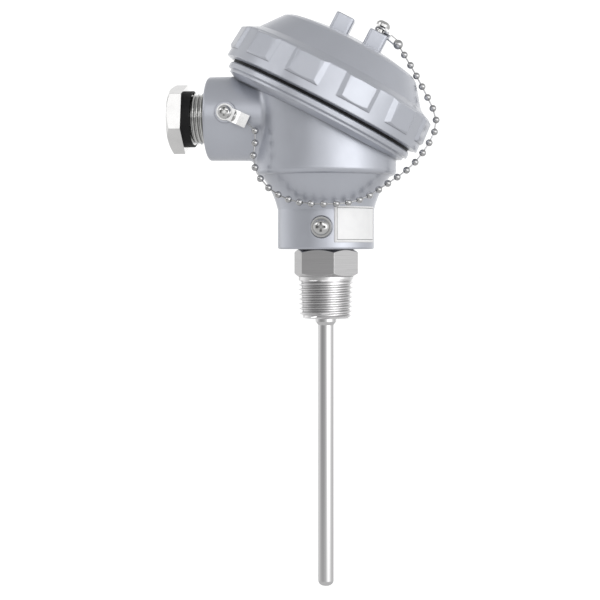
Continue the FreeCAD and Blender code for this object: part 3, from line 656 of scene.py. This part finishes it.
# The chain's strip at the cap

# Its section, as shares of its half width and half thickness: its long borders are pressed down.
STRIP_SECTION = ((-1.0, -1.0), (-1.0, -0.3), (-0.66, 1.0), (0.66, 1.0), (1.0, -0.3), (1.0, -1.0))


def strip_eye():
    """The middle of the eye of the CAD's strip, on the axis that it turns on, and the way the eye faces."""
    eye_reach = 3.0
    swivel = Vector(SWIVEL)
    mesh_data = bmesh.new()
    mesh_data.from_mesh(nodes["cap_chain_tab"].data)
    flat = max(mesh_data.faces, key=lambda face: face.calc_area()).normal.copy()
    points = [vertex.co / MM for vertex in mesh_data.verts]
    mesh_data.free()
    near = [point for point in points if (point - swivel).length < eye_reach]
    heights = [(point - swivel).dot(flat) for point in near]
    return swivel + flat * (min(heights) + max(heights)) / 2, flat


def square_to(way, vector):
    """The part of a vector that is square to a way, at length 1."""
    return (vector - way * vector.dot(way)).normalized()


def cap_strip():
    """The strip: a flat eye on the screw, and a neck that twists to face the side."""
    hole_radius = 1.7
    neck_start = 1.75
    clasp_gap = 1.5
    wide, narrow = 3.3, 2.6
    faces = (0.1, -1.0, 0.1)
    twist_speed, narrowing_speed = 1.5, 2
    eye_sides = 36
    steps = 16
    half = STRIP_THICKNESS / 2
    eye, flat = strip_eye()
    clasp = highest([middle(group) for group in islands("upper_chain_beads")])
    way = (clasp - eye).normalized()
    length = (clasp - eye).length - clasp_gap
    start = square_to(way, flat)
    side = square_to(way, Vector(faces))
    if start.dot(side) < 0:
        start = -start
    twist = start.angle(side) * (1 if start.cross(side).dot(way) > 0 else -1)
    mesh_data = bmesh.new()
    inner, outer = hole_radius, STRIP_EYE_RADIUS
    ring = [(inner, -half), (outer, -half), (outer, half), (inner, half), (inner, -half)]
    add_turned(mesh_data, ring, facing(eye, flat), eye_sides)
    sections = []
    for step in range(steps + 1):
        share = step / steps
        normal = Matrix.Rotation(twist * smooth_step(share * twist_speed), 3, way) @ start
        width = wide + (narrow - wide) * smooth_step(share * narrowing_speed)
        across = way.cross(normal) * width / 2
        place = eye + way * (neck_start + (length - neck_start) * share)
        corners = [place + out * across + lift * half * normal for out, lift in STRIP_SECTION]
        sections.append([mesh_data.verts.new(corner) for corner in corners])
    bridge(mesh_data, sections)
    mesh_data.faces.new(sections[0])
    mesh_data.faces.new(sections[-1])
    piece = piece_from(mesh_data, "cap_strip", [STRIP])
    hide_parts("cap_chain_tab")
    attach(piece, "chain_tab")


# Label

def bare_label():
    """The white plate on the neck, left bare inside its thin printed border."""
    start, end = math.radians(15.0), math.radians(80.0)
    bottom, top = 13.1, 27.0
    face_lift = 0.28
    thickness = 0.3
    inset, line = 0.95, 0.2
    bends = 24
    radius = NECK_RADIUS + face_lift
    wide = (end - start) * radius
    high = top - bottom
    columns = sorted({0.0, inset, inset + line, wide - inset - line, wide - inset, wide}
                     | {wide * part / bends for part in range(1, bends)})
    rows = [0.0, inset, inset + line, high - inset - line, high - inset, high]
    mesh_data = bmesh.new()
    grid = []
    for row in rows:
        ring = []
        for column in columns:
            angle = start + column / radius
            corner = (radius * math.sin(angle), -radius * math.cos(angle), bottom + row)
            ring.append(mesh_data.verts.new(corner))
        grid.append(ring)
    for y in range(len(rows) - 1):
        for x in range(len(columns) - 1):
            face = mesh_data.faces.new((grid[y][x], grid[y][x + 1], grid[y + 1][x + 1], grid[y + 1][x]))
            mid_x = (columns[x] + columns[x + 1]) / 2
            mid_y = (rows[y] + rows[y + 1]) / 2
            edge = min(mid_x, wide - mid_x, mid_y, high - mid_y)
            face.material_index = 1 if inset < edge < inset + line else 0
    piece = piece_from(mesh_data, "bare_label", [label_white(), label_border()])
    plate = piece.modifiers.new("thickness", "SOLIDIFY")
    plate.thickness = thickness * MM
    plate.offset = -1.0
    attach(piece, "head")


# Stage, light and camera, in metres

def floor():
    """A wide pale floor that glows a little and lights nothing."""
    size = 6.0
    height = -0.13
    glow = 0.45
    corners = [(-size, -size, height), (size, -size, height), (size, size, height), (-size, size, height)]
    mesh = bpy.data.meshes.new("floor")
    mesh.from_pydata(corners, [], [(0, 1, 2, 3)])
    plane = bpy.data.objects.new("floor", mesh)
    bpy.context.scene.collection.objects.link(plane)
    surface = Surface("pale_floor", (0.9, 0.9, 0.9), roughness=0.8)
    surface.vary_color(surface.noise(3.0), (0.89, 0.89, 0.89), (0.91, 0.91, 0.91))
    surface.shader.inputs["Emission Color"].default_value = (1.0, 1.0, 1.0, 1.0)
    surface.shader.inputs["Emission Strength"].default_value = glow
    mesh.materials.append(surface.material)
    plane.visible_diffuse = False
    plane.visible_glossy = False


def soft_light(name, place, aim, width, height, radiance):
    """A rectangular softbox; its power follows from its size and how bright its face is."""
    data = bpy.data.lights.new(name, "AREA")
    data.shape = "RECTANGLE"
    data.size = width
    data.size_y = height
    data.energy = radiance * width * height * math.pi
    light = bpy.data.objects.new(name, data)
    light.location = place
    light.rotation_euler = (Vector(aim) - Vector(place)).to_track_quat("-Z", "Y").to_euler()
    bpy.context.scene.collection.objects.link(light)


# How bright the room is round the horizon, at degrees to the right of the camera as the object sees it.
HORIZON = (
    (-180, 1.15), (-166, 1.12), (-150, 0.62), (-130, 1.1), (-108, 0.95), (-88, 0.64), (-68, 0.42),
    (-48, 0.36), (-28, 0.43), (-10, 0.58), (3, 0.84), (14, 1.35), (26, 2.05), (40, 2.5), (56, 2.0),
    (73, 1.25), (90, 0.84), (116, 0.72), (142, 0.95), (170, 1.15),
)
BRIGHTEST = 2.5
OVERHEAD = 0.5
UNDERFOOT = 0.66
# Where the camera stands, in degrees to the right of the object's front.
CAMERA_SIDE = 5.4
# Between these heights, as shares of straight up or down, the horizon's light gives way to the other two.
RISE = (0.1, 0.75)
FALL = (0.02, 0.5)
# How much higher the horizon's light reaches behind the object.
BEHIND_RISE = 0.2


def world_light():
    """A white room behind, a broad soft window on the right and a darker room in front on the left."""
    world = bpy.data.worlds.new("studio")
    world.use_nodes = True
    tree = world.node_tree
    background = tree.nodes["Background"]
    way = tree.nodes.new("ShaderNodeSeparateXYZ")
    tree.links.new(tree.nodes.new("ShaderNodeTexCoord").outputs["Generated"], way.inputs["Vector"])

    def fill(node, values):
        for key, value in values.items():
            if isinstance(value, (int, float)):
                node.inputs[key].default_value = value
            else:
                tree.links.new(value, node.inputs[key])
        return node

    def calculated(operation, first, second):
        node = tree.nodes.new("ShaderNodeMath")
        node.operation = operation
        return fill(node, {0: first, 1: second}).outputs["Value"]

    def stepped(value, start, end):
        node = tree.nodes.new("ShaderNodeMapRange")
        node.interpolation_type = "SMOOTHSTEP"
        return fill(node, {"Value": value, "From Min": start, "From Max": end}).outputs["Result"]

    def mixed(factor, low, high):
        node = tree.nodes.new("ShaderNodeMix")
        return fill(node, {"Factor": factor, "A": low, "B": high}).outputs["Result"]

    angle = calculated("ARCTAN2", way.outputs["X"], calculated("MULTIPLY", way.outputs["Y"], -1.0))
    share = calculated("ADD", calculated("DIVIDE", angle, 2 * math.pi), 0.5)
    ramp = fill(tree.nodes.new("ShaderNodeValToRGB"), {"Fac": share})
    stops = ramp.color_ramp
    stops.interpolation = "EASE"
    while len(stops.elements) < len(HORIZON):
        stops.elements.new(0.5)
    for stop, (degrees, tone) in zip(stops.elements, HORIZON):
        stop.position = (degrees + CAMERA_SIDE + 180.0) / 360.0
        stop.color = (tone / BRIGHTEST, tone / BRIGHTEST, tone / BRIGHTEST, 1.0)
    horizon = calculated("MULTIPLY", ramp.outputs["Color"], BRIGHTEST)
    behind = calculated("MULTIPLY", calculated("MAXIMUM", way.outputs["Y"], 0.0), BEHIND_RISE)
    rise = calculated("SUBTRACT", way.outputs["Z"], behind)
    fall = calculated("MULTIPLY", way.outputs["Z"], -1.0)
    level = mixed(stepped(rise, *RISE), horizon, OVERHEAD)
    level = mixed(stepped(fall, *FALL), level, UNDERFOOT)
    tree.links.new(level, background.inputs["Strength"])
    background.inputs["Color"].default_value = (1.0, 1.0, 1.0, 1.0)
    bpy.context.scene.world = world


def studio():
    """The room's light, a broad fill from above the camera and a softbox high on the left."""
    world_light()
    aim = (0.0, 0.0, 0.03)
    soft_light("fill", (0.07, -1.12, 0.44), aim, width=1.0, height=0.6, radiance=0.75)
    soft_light("left_high", (-0.92, -0.52, 0.62), aim, width=0.8, height=0.4, radiance=1.3)


def camera():
    """The photo's view: a level camera, with its focal length and shift given in pixels of the picture."""
    picture = 600.0
    focal = 1300.0
    shift = -55.0
    sensor_mm = 36.0
    heading = math.radians(6.5)
    data = bpy.data.cameras.new("camera")
    data.sensor_width = sensor_mm
    data.lens = focal / picture * sensor_mm
    data.shift_y = shift / picture
    data.clip_start = 0.01
    view = bpy.data.objects.new("camera", data)
    view.location = (0.0467, -0.4979, 0.0121)
    ahead = Vector((-math.sin(heading), math.cos(heading), 0.0))
    view.rotation_euler = ahead.to_track_quat("-Z", "Y").to_euler()
    bpy.context.scene.collection.objects.link(view)
    bpy.context.scene.camera = view


dress_nodes()
threaded_nipple()
threaded_gland()
collar_thread()
ball_chain()
cap_strip()
bare_label()
floor()
studio()
camera()
bpy.context.scene.view_settings.view_transform = "Standard"
